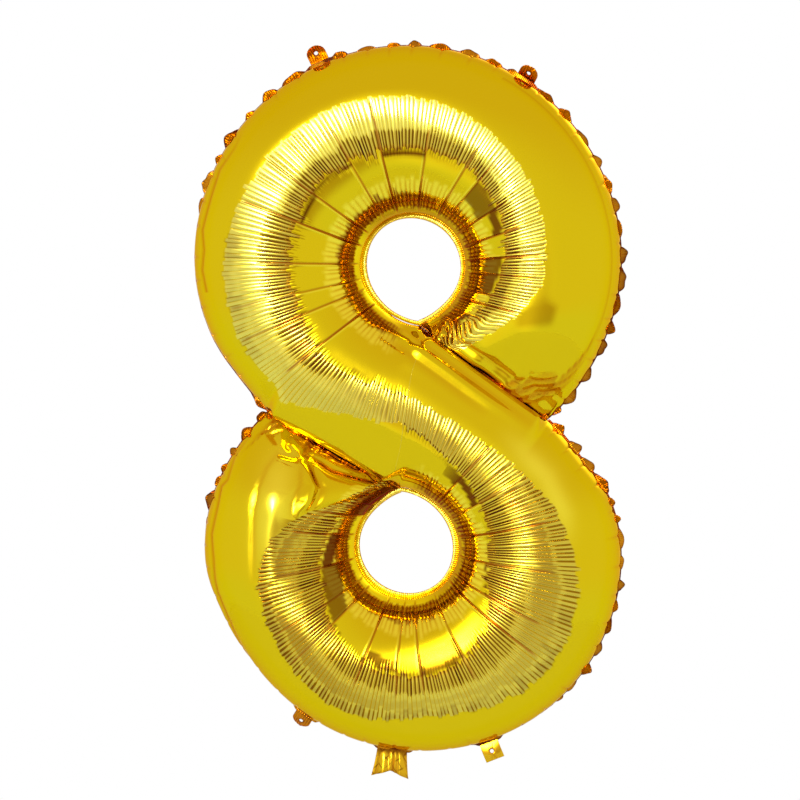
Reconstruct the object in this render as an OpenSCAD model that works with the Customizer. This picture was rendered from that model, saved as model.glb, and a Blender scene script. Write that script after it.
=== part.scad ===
// Foil number balloon in the shape of the figure 8, hung by punched tabs on its rim.
// Millimetres, +Z up, front towards -Y. The two films are welded in the plane y = 0, and
// the origin is the middle of the whole balloon's box. The figure is one inflated tube shaped
// like an S, whose two ends are welded along a slit to the sides of its own diagonal.

/* [Loops] */
// How far right of the origin the middle of the figure lies
mid_x = 3.7; // [0:0.1:8]
// How far above the origin the middle of the figure lies, as the neck hangs below it
mid_z = 7.3; // [0:0.1:15]
// Height of each loop's centre above or below the middle of the figure
loop_rise = 177; // [172:1:182]
// Nominal outer radius of the upper loop
upper_loop_r = 270; // [264:1:276]
// Nominal outer radius of the lower loop
lower_loop_r = 262; // [256:1:268]
// Nominal radius of each hole at its weld
hole_r = 64; // [60:1:68]
// How far the inflated tube stands in front of the weld plane, and behind it
half_depth = 80; // [60:1:90]
// Length over which each end of the tube swells from flat to full depth, as a share of a loop
end_swell = 0.13; // [0.08:0.01:0.2]

/* [Films] */
// Thickness of each film
film_t = 0.8; // [0.5:0.1:1.2]
// Grid steps along each loop of a film
steps_along = 54; // [36:2:64]
// Grid steps across a film
steps_across = 12; // [8:2:16]

/* [Seams] */
// Thickness of the welded margin
seam_t = 0.8; // [0.6:0.1:1.2]
// Width of the margin outside the rim at the top of a scallop
margin_w = 8; // [6:0.5:10]
// Depth of the scallops that puckering leaves in the margin
scallop_depth = 3; // [1:0.5:5]
// Length of one scallop along the rim
scallop_pitch = 35; // [25:1:50]
// Width of the ring inside each hole
ring_w = 9.5; // [6:0.5:12]
// How far each weld reaches in under the films
weld_lap = 4; // [2:0.5:6]
// Width of the flat weld between the two films' edges along a slit
slit_w = 6; // [4:0.5:8]

/* [Hanging tabs] */
// Width of a tab
tab_w = 24; // [20:1:30]
// Length of a tab from its fold line to its end
tab_len = 22; // [20:1:30]
// Diameter of the punched hole
tab_hole_d = 5; // [4:0.5:6]
// Clearance on each side of a fold line
fold_gap = 0.6; // [0.5:0.1:1]

/* [Neck and valve] */
// Width of the neck at its root
neck_w = 38; // [30:1:45]
// Width of the neck at its mouth
mouth_w = 47; // [40:1:60]
// Length of the neck from its fold line to the mouth's corners
neck_len = 34; // [28:1:40]
// Depth of the swallow-tail cut in the mouth
tail_cut = 9; // [4:1:14]
// Thickness of each wall of the neck
ply_t = 0.5; // [0.4:0.1:0.8]
// Width of the valve strips
valve_w = 30; // [24:1:34]
// Length of the valve strips inside the tube
valve_len = 110; // [80:1:130]
// Thickness of each valve strip
valve_t = 0.2; // [0.15:0.05:0.3]

/* [Hidden] */

UPPER = 0;
LOWER = 1;
seam_face = seam_t / 2;

// Loop outlines as [angle, radius] pairs with the radius as a share of the nominal one.
// Angles turn anticlockwise from +X in the upper loop. The lower loop is the upper one
// turned half a turn, so its angles start from -X.
UPPER_RIM = [[-48, 0.952], [-25, 0.956], [0, 0.970], [35, 0.978], [70, 0.996], [105, 1.006],
             [150, 1.007], [180, 1.000], [200, 0.978], [214, 0.950], [226, 0.948]];
LOWER_RIM = [[-44, 0.940], [-30, 0.954], [-12, 0.980], [5, 0.986], [20, 0.956], [40, 0.938],
             [75, 0.962], [95, 0.980], [130, 1.010], [155, 1.014], [180, 1.004], [195, 0.978],
             [208, 0.925], [223, 0.902]];
HOLE = [[-81, 1.19], [-50, 1.10], [0, 1.06], [45, 1.03], [90, 0.985], [135, 0.955],
        [180, 0.94], [225, 0.97], [255, 1.06], [279, 1.19]];
hole_from = HOLE[0][0];
hole_to = HOLE[len(HOLE) - 1][0];

// Fold lines of the tabs and the neck: loop, angle, distance beyond the rim, tilt at rest
TAB_UPPER_LEFT = [UPPER, 114, 5, -20];
TAB_UPPER_RIGHT = [UPPER, 58, 4, -60];
TAB_LOWER_LEFT = [LOWER, 58, 4, 30];
TAB_LOWER_RIGHT = [LOWER, 112, 4, -15];
NECK = [LOWER, 85, 4, 0];
FOLDS = [TAB_UPPER_LEFT, TAB_UPPER_RIGHT, TAB_LOWER_LEFT, TAB_LOWER_RIGHT];

function rim_of(loop) = loop == UPPER ? UPPER_RIM : LOWER_RIM;
function loop_r(loop) = loop == UPPER ? upper_loop_r : lower_loop_r;
function last(list) = list[len(list) - 1];
function mix(a, b, f) = a + (b - a) * f;
function smooth(f) = let (c = min(1, max(0, f))) c * c * (3 - 2 * c);

// Cubic through the pairs of a table, read at one angle
function slope(t, i) = let (a = max(0, i - 1), b = min(len(t) - 1, i + 1))
    (t[b][1] - t[a][1]) / (t[b][0] - t[a][0]);
function read_table(t, angle) = let (
    k = max([for (i = [0 : len(t) - 2]) if (i == 0 || t[i][0] <= angle) i]),
    h = t[k + 1][0] - t[k][0],
    u = (angle - t[k][0]) / h)
    (2 * pow(u, 3) - 3 * pow(u, 2) + 1) * t[k][1] + (pow(u, 3) - 2 * pow(u, 2) + u) * h * slope(t, k)
    + (3 * pow(u, 2) - 2 * pow(u, 3)) * t[k + 1][1] + (pow(u, 3) - pow(u, 2)) * h * slope(t, k + 1);

// A point of a loop in the weld plane [x, z], from an angle and a radius
function loop_point(loop, angle, r) = [mid_x, mid_z] + (loop == UPPER ? 1 : -1)
    * [r * cos(angle), loop_rise + r * sin(angle)];
function rim_r(loop, angle) = loop_r(loop) * read_table(rim_of(loop), angle);
function rim_point(loop, angle, out = 0) = loop_point(loop, angle, rim_r(loop, angle) + out);
function hole_point(loop, angle, out = 0) = loop_point(loop, angle, hole_r * read_table(HOLE, angle) + out);

// The slit of a loop runs from its hole's corner to the notch where its rim starts
function corner(loop) = loop_point(loop, (hole_from + hole_to - 360) / 2, hole_r * HOLE[0][1]);
function notch(loop) = (rim_point(loop, rim_of(loop)[0][0])
    + rim_point(1 - loop, last(rim_of(1 - loop))[0])) / 2;
function slit_side(loop, side) = let (run = notch(loop) - corner(loop))
    side * slit_w / 2 * [-run[1], run[0]] / norm(run);

// Edges of a loop's half of the tube, read by a share of the way from the tube's end to
// the middle of the diagonal. The outer edge starts at the loop's notch, follows its rim,
// and then the other loop's slit. The inner edge goes once round the hole.
// Share of a loop over which the outer edge gives up its lead on the hole, which starts later
lead_share = 0.24;
// Share of a loop from which the outer edge falls behind the hole, and by how many degrees
trail_from = 0.70;
trail_angle = 14;
// Share of a loop over which an edge leaves or reaches the side of a slit
side_share = 0.1;
// Where along the rim the other loop's slit begins to push the edge aside, and over what share
push_from = 0.7;
push_share = 0.15;
function outer_angle(loop, f) = hole_from + 360 * f
    + (rim_of(loop)[0][0] - hole_from) * (1 - smooth(f / lead_share))
    - trail_angle * smooth((f - trail_from) / (1 - trail_from));
function outer_edge(loop, f) = let (
    angle = outer_angle(loop, f),
    rim_end = last(rim_of(loop))[0],
    along = (angle - rim_end) / (outer_angle(loop, 1) - rim_end))
    angle <= rim_end
    ? rim_point(loop, angle) + slit_side(loop, 1) * (1 - smooth(f / side_share))
        + slit_side(1 - loop, -1) * smooth((f - push_from) / push_share)
    : mix(notch(1 - loop), corner(1 - loop), along) + slit_side(1 - loop, -1);
function inner_edge(loop, f) = hole_point(loop, hole_from + 360 * f)
    + slit_side(loop, 1) * (1 - smooth(f / side_share))
    + slit_side(loop, -1) * smooth((f - 1 + side_share) / side_share);

// Stations of the whole tube run from the upper end (0) over the middle (1) to the lower end (2).
// Edge a is the upper loop's rim and then the lower hole, edge b the upper hole and then the lower rim.
function edge_a(s) = s <= 1 ? outer_edge(UPPER, s) : inner_edge(LOWER, 2 - s);
function edge_b(s) = s <= 1 ? inner_edge(UPPER, s) : outer_edge(LOWER, 2 - s);
function swell(s) = let (d = min(1, min(s, 2 - s) / end_swell)) sqrt(1 - (1 - d) * (1 - d));
function crown(t) = sqrt(1 - pow(2 * t - 1, 2));

// Point of the front film from a station, a share across and the greatest depth of its bulge
function film_point(s, t, depth) = let (p = mix(edge_a(s), edge_b(s), t))
    [p[0], -seam_face - depth, p[1]];

// Even steps across the section's arc, so that the facets stay even on its steep sides
function across(j) = (1 - cos(180 * j / steps_across)) / 2;
// Steps along the tube, closer together where its ends swell
end_crowding = 0.45;
function along(i) = let (u = i / (2 * steps_along)) 2 * u - end_crowding * sin(360 * u) / PI;

// Usual width of the tube, which turns the film's thickness into shares of the grid
tube_w = 200;
inset_s = film_t / (2 * tube_w);
inset_t = film_t / tube_w;

// The front film as a closed shell: its outer grid, its lining and the lip that joins them
module film() {
    ns = 2 * steps_along;
    nt = steps_across;
    row = nt + 1;
    outer = [for (i = [0 : ns]) for (j = [0 : nt]) let (s = along(i), t = across(j))
        film_point(s, t, half_depth * swell(s) * crown(t))];
    inner = [for (i = [0 : ns]) for (j = [0 : nt]) let (s = along(i), t = across(j))
        film_point(mix(inset_s, 2 - inset_s, s / 2), mix(inset_t, 1 - inset_t, t),
                   (half_depth - film_t) * swell(s) * crown(t))];
    base = len(outer);
    rim = concat([for (i = [0 : ns - 1]) i * row], [for (j = [0 : nt - 1]) ns * row + j],
                 [for (i = [ns : -1 : 1]) i * row + nt], [for (j = [nt : -1 : 1]) j]);
    skin = [for (i = [0 : ns - 1]) for (j = [0 : nt - 1]) let (a = i * row + j, b = a + row)
        each [[b + 1, b, a], [a + 1, b + 1, a]]];
    lining = [for (f = skin) [f[2] + base, f[1] + base, f[0] + base]];
    lip = [for (k = [0 : len(rim) - 1]) let (a = rim[k], b = rim[(k + 1) % len(rim)])
        each [[a + base, a, b], [b + base, a + base, b]]];
    polyhedron(concat(outer, inner), concat(skin, lining, lip));
}

// A flat plate between two depths, from an outline in [x, z]
module plate(from_y, to_y) {
    translate([0, to_y, 0]) rotate([90, 0, 0]) linear_extrude(to_y - from_y) children();
}

// Scalloped outline of a loop, closed round the other loop's centre so that the two overlap
scallop_points = 6;
function rim_len(loop) = loop_r(loop) * (last(rim_of(loop))[0] - rim_of(loop)[0][0]) * PI / 180;
function scallops(loop) = round(rim_len(loop) / scallop_pitch);
function loop_outline(loop, scalloped) = let (
    from = rim_of(loop)[0][0],
    to = last(rim_of(loop))[0],
    n = scallops(loop) * scallop_points)
    concat([for (i = [0 : n]) rim_point(loop, mix(from, to, i / n), scalloped
        ? margin_w - scallop_depth * (1 - abs(sin(180 * i / scallop_points))) : -weld_lap)],
        [loop_point(1 - loop, 0, 0)]);

module both_loops(scalloped) {
    union() {
        polygon(loop_outline(UPPER, scalloped));
        polygon(loop_outline(LOWER, scalloped));
    }
}

// Local frame of a fold line: +X away from the balloon, +Z along the fold
module at_fold(fold) {
    p = rim_point(fold[0], fold[1], fold[2]);
    translate([p[0], 0, p[1]]) rotate([0, fold[0] == UPPER ? -fold[1] : 180 - fold[1], 0]) children();
}

// The room that a tab or the neck needs in the margin, from a depth inside its fold line
module fold_room(fold, width, inside) {
    reach = 2 * margin_w;
    at_fold(fold) translate([-inside, -reach / 2, -width / 2]) cube([inside + reach, reach, width]);
}

// Room in the margin beside a tab or the neck, both sides together
side_room = 3;
module margin_plate() {
    difference() {
        plate(-seam_face, seam_face) both_loops(true);
        plate(-seam_t, seam_t) both_loops(false);
        for (fold = FOLDS) fold_room(fold, tab_w + side_room, fold_gap);
        fold_room(NECK, neck_w + side_room, NECK[2] + weld_lap + side_room);
    }
}

ring_points = 72;
function ring_outline(loop, out) = [for (i = [0 : ring_points - 1])
    hole_point(loop, mix(hole_from, hole_to, i / ring_points), out)];

module hole_ring(loop) {
    difference() {
        plate(-seam_face, seam_face) polygon(ring_outline(loop, weld_lap));
        plate(-seam_t, seam_t) polygon(ring_outline(loop, -ring_w));
    }
}

module slit_strip(loop) {
    from = corner(loop);
    to = notch(loop);
    side = slit_side(loop, 1) * (slit_w + 2 * weld_lap) / slit_w;
    difference() {
        plate(-seam_face, seam_face) polygon([from + side, to + side, to - side, from - side]);
        plate(-seam_t, seam_t) polygon(ring_outline(loop, weld_lap));
        margin_plate();
    }
}

// A disc across the weld plane, at a distance along a tab
module disc(x, d, thick, sides) {
    translate([x, 0, 0]) rotate([90, 0, 0]) cylinder(d = d, h = thick, center = true, $fn = sides);
}

// Sides of a tab's round end and of its punched hole
tab_end_sides = 64;
tab_hole_sides = 48;
// A hanging tab with its punched hole; its free end is a half disc or square
module tab(fold, round_end) {
    straight = round_end ? tab_len - tab_w / 2 : tab_len;
    at_fold(fold) rotate([0, 0, fold[3]]) difference() {
        union() {
            translate([fold_gap, -seam_face, -tab_w / 2]) cube([straight - fold_gap, seam_t, tab_w]);
            if (round_end) intersection() {
                disc(straight, tab_w, seam_t, tab_end_sides);
                translate([straight, -seam_face, -tab_w / 2]) cube([tab_w / 2, seam_t, tab_w]);
            }
        }
        disc(tab_len / 2, tab_hole_d, 2 * seam_t, tab_hole_sides);
    }
}

// Gap between the weld plane and each wall of the neck at rest
ply_gap = 0.1;
// One wall of the neck, on the front (-1) or the back (1), with its swallow-tail mouth
module neck_ply(side) {
    from_y = side < 0 ? -ply_gap - ply_t : ply_gap;
    at_fold(NECK) plate(from_y, from_y + ply_t)
        polygon([[fold_gap, -neck_w / 2], [neck_len, -mouth_w / 2], [neck_len - tail_cut, 0],
                 [neck_len, mouth_w / 2], [fold_gap, neck_w / 2]]);
}

// One strip of the self-closing valve, welded between the films at the neck's root
module valve_strip(side) {
    from_y = side < 0 ? -seam_face : seam_face - valve_t;
    at_fold(NECK) plate(from_y, from_y + valve_t)
        polygon([[-fold_gap, -valve_w / 2], [-valve_len, -valve_w / 2], [-valve_len, valve_w / 2],
                 [-fold_gap, valve_w / 2]]);
}

module front_film() {
    color("gold") film();
}

module back_film() {
    color("goldenrod") mirror([0, 1, 0]) film();
}

module outer_seam() {
    color("darkorange") margin_plate();
}

module upper_hole_seam() {
    color("khaki") hole_ring(UPPER);
}

module lower_hole_seam() {
    color("khaki") hole_ring(LOWER);
}

module upper_slit_seam() {
    color("peru") slit_strip(UPPER);
}

module lower_slit_seam() {
    color("peru") slit_strip(LOWER);
}

module hang_tab_upper_left() {
    color("orange") tab(TAB_UPPER_LEFT, true);
}

module hang_tab_upper_right() {
    color("orange") tab(TAB_UPPER_RIGHT, true);
}

module hang_tab_lower_left() {
    color("orange") tab(TAB_LOWER_LEFT, true);
}

module hang_tab_lower_right() {
    color("orange") tab(TAB_LOWER_RIGHT, false);
}

module neck_front_ply() {
    color("darkgoldenrod") neck_ply(-1);
}

module neck_back_ply() {
    color("saddlebrown") neck_ply(1);
}

module valve_front_film() {
    color("lightblue") valve_strip(-1);
}

module valve_back_film() {
    color("lightsteelblue") valve_strip(1);
}

front_film();
back_film();
outer_seam();
upper_hole_seam();
lower_hole_seam();
upper_slit_seam();
lower_slit_seam();
hang_tab_upper_left();
hang_tab_upper_right();
hang_tab_lower_left();
hang_tab_lower_right();
neck_front_ply();
neck_back_ply();
valve_front_film();
valve_back_film();
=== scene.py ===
import math

import bpy
import numpy as np
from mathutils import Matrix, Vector

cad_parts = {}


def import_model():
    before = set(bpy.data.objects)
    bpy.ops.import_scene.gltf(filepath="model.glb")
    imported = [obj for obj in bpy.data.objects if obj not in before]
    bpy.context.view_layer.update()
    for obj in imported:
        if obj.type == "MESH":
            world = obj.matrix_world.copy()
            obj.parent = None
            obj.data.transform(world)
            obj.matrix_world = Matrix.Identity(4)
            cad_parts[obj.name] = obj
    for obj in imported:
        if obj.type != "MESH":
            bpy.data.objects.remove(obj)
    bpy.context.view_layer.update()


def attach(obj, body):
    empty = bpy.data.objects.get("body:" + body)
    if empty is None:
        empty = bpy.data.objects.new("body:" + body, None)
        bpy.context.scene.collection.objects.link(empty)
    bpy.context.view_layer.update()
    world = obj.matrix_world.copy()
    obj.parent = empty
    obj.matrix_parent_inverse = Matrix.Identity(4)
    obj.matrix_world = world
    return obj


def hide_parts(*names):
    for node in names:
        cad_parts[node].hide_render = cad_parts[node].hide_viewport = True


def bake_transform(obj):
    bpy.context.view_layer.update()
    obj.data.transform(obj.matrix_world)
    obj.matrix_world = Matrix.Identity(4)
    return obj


# Foil number balloon, figure 8. Metres, +Z up, front towards -Y, weld plane y = 0.
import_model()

# ---- outline, as in the CAD
UPPER, LOWER = 0, 1
MM = 0.001
LOOP_RISE = 177 * MM
MIDDLE = np.array([3.7, 7.3]) * MM
LOOP_R = (270 * MM, 262 * MM)
HOLE_R = 64 * MM
HALF_DEPTH = 80 * MM
BULGE_HALF_W = 103 * MM
END_SWELL = 0.20
SLIT_W = 2.4 * MM
SEAM_FACE = 0.4 * MM
MARGIN_W = 8 * MM

# Outlines as [angle, radius] pairs, the radius as a share of the nominal one
UPPER_RIM = [[-48, 0.952], [-25, 0.956], [0, 0.970], [35, 0.978], [70, 0.996], [105, 1.006],
             [150, 1.007], [180, 1.000], [200, 0.978], [214, 0.950], [226, 0.948]]
LOWER_RIM = [[-44, 0.940], [-30, 0.954], [-12, 0.980], [5, 0.986], [20, 0.956], [40, 0.938],
             [75, 0.962], [95, 0.980], [130, 1.010], [155, 1.014], [180, 1.004], [195, 0.978],
             [208, 0.925], [223, 0.902]]
HOLE = [[-81, 1.19], [-50, 1.10], [0, 1.06], [45, 1.03], [90, 0.985], [135, 0.955],
        [180, 0.94], [225, 0.97], [255, 1.06], [279, 1.19]]
RIMS = (UPPER_RIM, LOWER_RIM)
HOLE_FROM, HOLE_TO = HOLE[0][0], HOLE[-1][0]


def smooth(x):
    c = np.clip(x, 0, 1)
    return c * c * (3 - 2 * c)


def mix(a, b, f):
    return a + (b - a) * f


def read_table(table, x):
    """Cubic through the pairs of a table, read at x."""
    a, r = np.array(table, float).T
    m = np.empty_like(a)
    m[1:-1] = (r[2:] - r[:-2]) / (a[2:] - a[:-2])
    m[0] = (r[1] - r[0]) / (a[1] - a[0])
    m[-1] = (r[-1] - r[-2]) / (a[-1] - a[-2])
    x = np.asarray(x, float)
    k = np.clip(np.searchsorted(a, x, side="right") - 1, 0, len(a) - 2)
    h = a[k + 1] - a[k]
    u = (x - a[k]) / h
    return ((2 * u**3 - 3 * u**2 + 1) * r[k] + (u**3 - 2 * u**2 + u) * h * m[k]
            + (3 * u**2 - 2 * u**3) * r[k + 1] + (u**3 - u**2) * h * m[k + 1])


def loop_point(loop, angle, r):
    a = np.radians(angle)
    sign = 1 if loop == UPPER else -1
    return MIDDLE + np.stack([sign * r * np.cos(a), sign * (LOOP_RISE + r * np.sin(a))], -1)


def rim_point(loop, angle, out=0.0):
    return loop_point(loop, angle, LOOP_R[loop] * read_table(RIMS[loop], angle) + out)


def hole_point(loop, angle, out=0.0):
    return loop_point(loop, angle, HOLE_R * read_table(HOLE, angle) + out)


def corner(loop):
    return loop_point(loop, (HOLE_FROM + HOLE_TO - 360) / 2, HOLE_R * HOLE[0][1])


def notch(loop):
    return (rim_point(loop, RIMS[loop][0][0]) + rim_point(1 - loop, RIMS[1 - loop][-1][0])) / 2


def slit_side(loop, side):
    run = notch(loop) - corner(loop)
    return side * SLIT_W / 2 * np.array([-run[1], run[0]]) / np.linalg.norm(run)


def outer_angle(loop, f):
    lead = RIMS[loop][0][0] - HOLE_FROM
    return HOLE_FROM + 360 * f + lead * (1 - smooth(f / 0.24)) - 14 * smooth((f - 0.70) / 0.30)


def outer_edge(loop, f):
    f = np.asarray(f, float)
    angle = outer_angle(loop, f)
    end = RIMS[loop][-1][0]
    on_rim = (rim_point(loop, np.minimum(angle, end))
              + slit_side(loop, 1) * (1 - smooth(f / 0.1))[..., None]
              + slit_side(1 - loop, -1) * smooth((f - 0.7) / 0.15)[..., None])
    along = (angle - end) / (outer_angle(loop, 1.0) - end)
    on_slit = mix(notch(1 - loop), corner(1 - loop), along[..., None]) + slit_side(1 - loop, -1)
    return np.where((angle <= end)[..., None], on_rim, on_slit)


def inner_edge(loop, f):
    f = np.asarray(f, float)
    return (hole_point(loop, HOLE_FROM + 360 * f) + slit_side(loop, 1) * (1 - smooth(f / 0.1))[..., None]
            + slit_side(loop, -1) * smooth((f - 0.9) / 0.1)[..., None])


def edges(s):
    """Both edges of the tube in [x, z] at stations from the upper end (0) to the lower end (2)."""
    s = np.asarray(s, float)
    up = (s <= 1)[..., None]
    fu, fl = np.minimum(s, 1), np.minimum(2 - s, 1)
    a = np.where(up, outer_edge(UPPER, fu), inner_edge(LOWER, fl))
    b = np.where(up, inner_edge(UPPER, fu), outer_edge(LOWER, fl))
    return a, b


def swell(s):
    d = np.clip(np.minimum(s, 2 - s) / END_SWELL, 0, 1)
    return np.sqrt(1 - (1 - d) ** 3)


# ---- helpers for meshes
def grid_faces(rows, columns, first=0):
    """The four corners of each face of a grid of points that are numbered row by row."""
    index = np.arange(rows * columns).reshape(rows, columns) + first
    return np.stack([index[:-1, :-1], index[1:, :-1], index[1:, 1:], index[:-1, 1:]], -1).reshape(-1, 4)


def grid_mesh(name, points, flip=False, attributes=None):
    """A mesh from an array of points [i, j, xyz], with smooth faces."""
    quads = grid_faces(*points.shape[:2])
    return mesh_object(name, points.reshape(-1, 3), quads[:, ::-1] if flip else quads, attributes)


def mesh_object(name, points, quads, attributes=None):
    mesh = bpy.data.meshes.new(name)
    mesh.vertices.add(len(points))
    mesh.vertices.foreach_set("co", np.ascontiguousarray(points, np.float32).ravel())
    mesh.loops.add(quads.size)
    mesh.loops.foreach_set("vertex_index", quads.ravel().astype(np.int32))
    mesh.polygons.add(len(quads))
    mesh.polygons.foreach_set("loop_start", np.arange(0, quads.size, quads.shape[1], dtype=np.int32))
    mesh.polygons.foreach_set("use_smooth", np.ones(len(quads), bool))
    mesh.update(calc_edges=True)
    for key, values in (attributes or {}).items():
        layer = mesh.attributes.new(key, "FLOAT", "POINT")
        layer.data.foreach_set("value", np.ascontiguousarray(values, np.float32).ravel())
    mesh.validate()
    obj = bpy.data.objects.new(name, mesh)
    bpy.context.scene.collection.objects.link(obj)
    return obj


def stand(plan, y):
    """Points from their [x, z] in the weld plane and their distance y behind it."""
    return np.stack([plan[..., 0], y, plan[..., 1]], -1)


def surface_normals(points, side):
    """Unit normals of a grid of points, towards the front (-1) or the back (+1)."""
    n = np.cross(np.gradient(points, axis=0), np.gradient(points, axis=1))
    n /= np.maximum(np.linalg.norm(n, axis=-1, keepdims=True), 1e-12)
    turn = np.sign(np.median(n[..., 1])) * side
    return n * turn


def lobes(x, spacing, jitter, rng):
    """Splits the line x into uneven cells.

    Gives, for each x, the number of its cell and its place in it (0 to 1), and the count of cells.
    """
    length = x.max() - x.min()
    n = max(2, round(length / spacing))
    cuts = np.concatenate([[0], np.cumsum(1 + jitter * rng.uniform(-1, 1, n))])
    cuts = x.min() + cuts * (length * 1.0001 / cuts[-1])
    k = np.clip(np.searchsorted(cuts, x, side="right") - 1, 0, n - 1)
    return k, (x - cuts[k]) / (cuts[k + 1] - cuts[k]), n


# ---- the two films
# Folds: loop, points [x, z] in mm from the figure's middle, half width and height in mm
FOLDS = [
    # the lower end: a star of folds beside its slit
    (LOWER, [[-132, -63], [-130, -90], [-139, -114], [-141, -134]], 3.4, -3.0),
    (LOWER, [[-128, -65], [-117, -94], [-121, -114], [-133, -133]], 6.0, 4.2),
    (LOWER, [[-121, -66], [-104, -96], [-110, -114], [-129, -134]], 4.2, -3.4),
    # the flat facet that reaches from it to the hole's corner, with its upper and lower edges
    (LOWER, [[-127, -57], [-107, -65], [-91, -75], [-58, -86], [-22, -96]], 3.6, -3.0),
    (LOWER, [[-130, -131], [-102, -124], [-64, -114], [-20, -101]], 4.6, -3.2),
    # left of the star: a broad bright swelling inside a long crease
    (LOWER, [[-130, -60], [-143, -61], [-161, -56], [-173, -72], [-182, -96], [-187, -124], [-188, -214]],
     3.4, -2.4),
    (LOWER, [[-150, -68], [-162, -100], [-166, -150], [-164, -215]], 13.0, 3.0),
    (LOWER, [[-130, -60], [-118, -45], [-110, -38]], 3.4, -2.6),
    (LOWER, [[-146, -32], [-149, -46], [-148, -56]], 3.0, -2.0),
    # the weld's own crease, seen inside the left edge of both loops
    (LOWER, [[-193, -28], [-218, -60], [-225, -89], [-234, -98], [-238, -123], [-246, -158], [-243, -188],
             [-242, -215], [-239, -232], [-215, -290], [-179, -355]], 1.9, -1.8),
    (UPPER, [[-205, 341], [-214, 321], [-234, 295], [-244, 263], [-256, 220], [-253, 195], [-256, 170],
             [-249, 138], [-236, 103], [-222, 72]], 1.9, -1.8),
    # the upper end: a lens-shaped pucker on its slit
    (UPPER, [[30, 98], [60, 84], [96, 62], [125, 42], [148, 18]], 4.6, -3.0),
    (UPPER, [[60, 74], [92, 54], [124, 28], [150, 6]], 4.6, 2.4),
    (UPPER, [[150, 18], [168, 24], [190, 16]], 5.8, -2.4),
    # long soft folds that run beside the upper slit from the hole's edge
    ("any", [[-30, 117], [4, 93], [60, 52], [120, 8], [160, -22]], 4.6, -2.6),
    ("any", [[-40, 108], [0, 83], [60, 39], [120, -2], [150, -24]], 4.6, 1.8),
    ("any", [[-44, 98], [0, 70], [50, 34], [100, -4]], 4.6, -1.6),
]

# Where the fine pleats begin, as a share across from the rim, by the share of the way round
UPPER_BOUND = [[0, 0.85], [0.05, 0.72], [0.1, 0.60], [0.15, 0.54], [0.2, 0.48], [0.25, 0.46], [0.35, 0.40],
               [0.5, 0.31], [0.64, 0.26], [0.75, 0.20], [0.85, 0.17], [0.93, 0.26], [1.0, 0.41]]
LOWER_BOUND = [[0, 0.90], [0.05, 0.85], [0.1, 0.78], [0.15, 0.62], [0.2, 0.50], [0.25, 0.38], [0.35, 0.24],
               [0.42, 0.21], [0.5, 0.28], [0.6, 0.20], [0.68, 0.22], [0.75, 0.30], [0.85, 0.36], [0.93, 0.38],
               [1.0, 0.41]]
# and where they end
UPPER_FAR = [[0, 0.93], [0.1, 0.82], [0.2, 0.77], [0.3, 0.69], [0.4, 0.64], [0.5, 0.63], [0.6, 0.61],
             [0.7, 0.62], [0.8, 0.60], [0.9, 0.53], [1.0, 0.59]]
LOWER_FAR = [[0, 0.96], [0.1, 0.90], [0.2, 0.84], [0.3, 0.74], [0.4, 0.60], [0.5, 0.55], [0.6, 0.63],
             [0.65, 0.75], [0.72, 0.81], [0.8, 0.76], [0.9, 0.67], [1.0, 0.59]]
# How much painted shade and dark reflection the fine pleats get, by the share of the way round
UPPER_PLEAT_SHADE = [[0, 0.5], [0.2, 0.45], [0.4, 0.1], [0.75, 0.15], [0.9, 0.3], [1.0, 0.45]]
LOWER_PLEAT_SHADE = [[0, 0.75], [0.2, 0.9], [0.35, 0.85], [0.5, 0.5], [0.62, 0.55], [0.75, 0.8], [0.85, 0.8],
              [1.0, 0.45]]
# Strips of painted highlight, paler film colour standing in for a lamp's reflection: loop, points [x, z] in
# mm from the figure's middle, half width in mm, strength
HIGHLIGHT_STRIPS = [(LOWER, [[-150, -22], [-154, -50], [-162, -122], [-172, -220]], 21, 1.0),
               (LOWER, [[105, -15], [135, -44], [171, -82], [192, -127], [200, -185]], 13, 0.95)]
COLUMNS, ROWS = 1960, 76

# Mean spacing of the pleats, ribs and margin lumps (upper and lower loop), and a middling depth
PLEAT_SPACING, PLEAT_DEPTH = 4.4 * MM, 1.1 * MM
RIB_SPACING, RIB_DEPTH = 3.9 * MM, 0.55 * MM
LUMP_SPACING, PUCKER_DEPTH = (33 * MM, 27 * MM), 1.3 * MM
FACET_STEP = 1.6            # how far a facet may lie in or out, in mm
WELD_CLEAR = 0.3 * MM       # the least distance of a film from the weld plane


def film_grid():
    """Stations along the tube, even along its middle line, and shares across, even along its arc."""
    fine = np.linspace(0, 2, 4001)
    a, b = edges(fine)
    run = path_length((a + b) / 2)
    s = np.interp(np.linspace(0, run[-1], COLUMNS + 1), run, fine)
    even = np.arange(ROWS + 1) / ROWS
    t = mix((1 - np.cos(np.pi * even)) / 2, even, 0.12)
    return s, t


def path_length(points):
    return np.concatenate([[0], np.cumsum(np.linalg.norm(np.diff(points, axis=0), axis=1))])


def rounded(edge):
    """An edge with its sharp corners rounded off, for the film away from the weld."""
    reach = 24
    weights = np.hanning(2 * reach + 3)[1:-1]
    longer = np.pad(edge, ((reach, reach), (0, 0)), "reflect", reflect_type="odd")
    return np.stack([np.convolve(longer[:, i], weights / weights.sum(), "valid") for i in (0, 1)], -1)


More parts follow.
